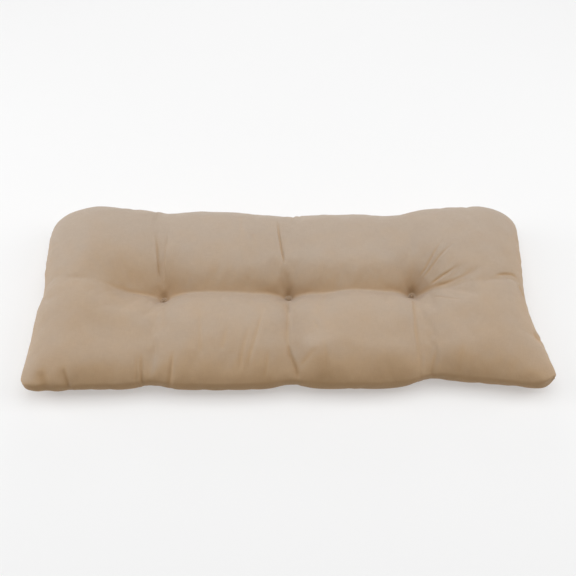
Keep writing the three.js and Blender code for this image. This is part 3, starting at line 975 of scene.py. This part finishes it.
def cover_material():
    material, tree, shader = new_material("cover_cloth")
    flat = add_node(tree, "ShaderNodeAttribute", attribute_name="cloth").outputs["Vector"]
    cloth = scaled(tree, flat, (MM,) * 3)
    # The tone attribute carries the painted shade.
    depth = add_node(tree, "ShaderNodeAttribute", attribute_name="tone").outputs["Fac"]
    place = add_node(tree, "ShaderNodeTexCoord").outputs["Object"]
    weave = weave_height(tree, cloth)
    thick = slubs(tree, cloth)
    colour = cloth_colour(tree, depth, place, thick, weave)
    tree.links.new(colour, shader.inputs["Base Color"])
    tree.links.new(mapped(tree, thick, CLOTH_ROUGHNESS, SLUB_RANGE), shader.inputs["Roughness"])
    soft = raised(tree, noise(tree, place, WRINKLE_SCALE, 3.0), WRINKLE_HEIGHT)
    bumpy = raised(tree, thick, SLUB_HEIGHT, under=soft)
    tree.links.new(raised(tree, weave, WEAVE_HEIGHT, under=bumpy), shader.inputs["Normal"])
    shader.inputs["Sheen Weight"].default_value = CLOTH_SHEEN
    shader.inputs["Sheen Roughness"].default_value = CLOTH_SHEEN_ROUGHNESS
    shader.inputs["Specular IOR Level"].default_value = CLOTH_SPECULAR
    return material


def thread_material():
    material, tree, shader = new_material("tuft_thread")
    place = add_node(tree, "ShaderNodeTexCoord").outputs["Object"]
    fibre = noise(tree, place, FIBRE_SCALE, 3.0)
    colours = {"Factor": fibre, "A": THREAD_PALE, "B": THREAD_DEEP}
    colour = add_node(tree, "ShaderNodeMix", colours, data_type="RGBA").outputs["Result"]
    tree.links.new(colour, shader.inputs["Base Color"])
    tree.links.new(mapped(tree, fibre, THREAD_ROUGHNESS), shader.inputs["Roughness"])
    tree.links.new(raised(tree, fibre, FIBRE_HEIGHT), shader.inputs["Normal"])
    shader.inputs["Sheen Weight"].default_value = THREAD_SHEEN
    return material


def studio_floor():
    mesh = bpy.data.meshes.new("floor")
    corners = [(-1, -1), (1, -1), (1, 1), (-1, 1)]
    mesh.from_pydata([(x * FLOOR_REACH, y * FLOOR_REACH, 0) for x, y in corners], [], [(0, 1, 2, 3)])
    material, _, shader = new_material("floor")
    shader.inputs["Base Color"].default_value = FLOOR_COLOUR
    shader.inputs["Emission Color"].default_value = WHITE
    shader.inputs["Emission Strength"].default_value = FLOOR_GLOW
    shader.inputs["Roughness"].default_value = 1
    mesh.materials.append(material)
    floor = bpy.data.objects.new("floor", mesh)
    bpy.context.scene.collection.objects.link(floor)
    return floor


def studio_camera():
    data = bpy.data.cameras.new("camera")
    data.sensor_width = CAMERA_SENSOR
    data.lens = FOCAL_PIXELS * CAMERA_SENSOR / PICTURE_PIXELS
    camera = bpy.data.objects.new("camera", data)
    bpy.context.scene.collection.objects.link(camera)
    back = Vector((0, -math.cos(CAMERA_ELEVATION), math.sin(CAMERA_ELEVATION)))
    camera.location = CAMERA_TARGET + back * CAMERA_DISTANCE
    camera.rotation_mode = "QUATERNION"
    camera.rotation_quaternion = (-back).to_track_quat("-Z", "Y") @ Quaternion((0, 0, 1), CAMERA_ROLL)
    return camera


def studio_lamp(lamp):
    light = bpy.data.lights.new(lamp.name, "AREA")
    light.shape = "SQUARE"
    light.size = lamp.size
    light.energy = lamp.energy
    holder = bpy.data.objects.new(lamp.name, light)
    holder.location = lamp.place
    holder.rotation_euler = (-Vector(lamp.place)).to_track_quat("-Z", "Y").to_euler()
    bpy.context.scene.collection.objects.link(holder)


def studio_world():
    """A little light from all round, and a pale surrounding where a view looks past the floor."""
    world = bpy.data.worlds.new("studio")
    world.use_nodes = True
    background = world.node_tree.nodes["Background"]
    background.inputs["Color"].default_value = WHITE
    seen = add_node(world.node_tree, "ShaderNodeLightPath").outputs["Is Camera Ray"]
    strength = mapped(world.node_tree, seen, (STUDIO_LIGHT, STUDIO_SEEN))
    world.node_tree.links.new(strength, background.inputs["Strength"])
    return world


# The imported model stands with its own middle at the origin, so the plan's places move by this much.
first_low, first_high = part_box(TUFTS[0].node)
first_middle = (first_low + first_high) / 2 / MM
SHIFT = np.array([TUFTS[0].x - first_middle.x, TUFTS[0].y - first_middle.y, 0])

cushion = cushion_cover()
cushion.data.materials.append(cover_material())
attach(cushion, "root")
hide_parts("cushion")

thread = thread_material()
for tuft in TUFTS:
    knot = tuft_knot(tuft.node)
    knot.data.materials.append(thread)
    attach(knot, "root")
    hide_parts(tuft.node)

studio_floor()
bpy.context.scene.camera = studio_camera()
for lamp in LAMPS:
    studio_lamp(lamp)
bpy.context.scene.world = studio_world()
bpy.context.scene.view_settings.view_transform = "Standard"
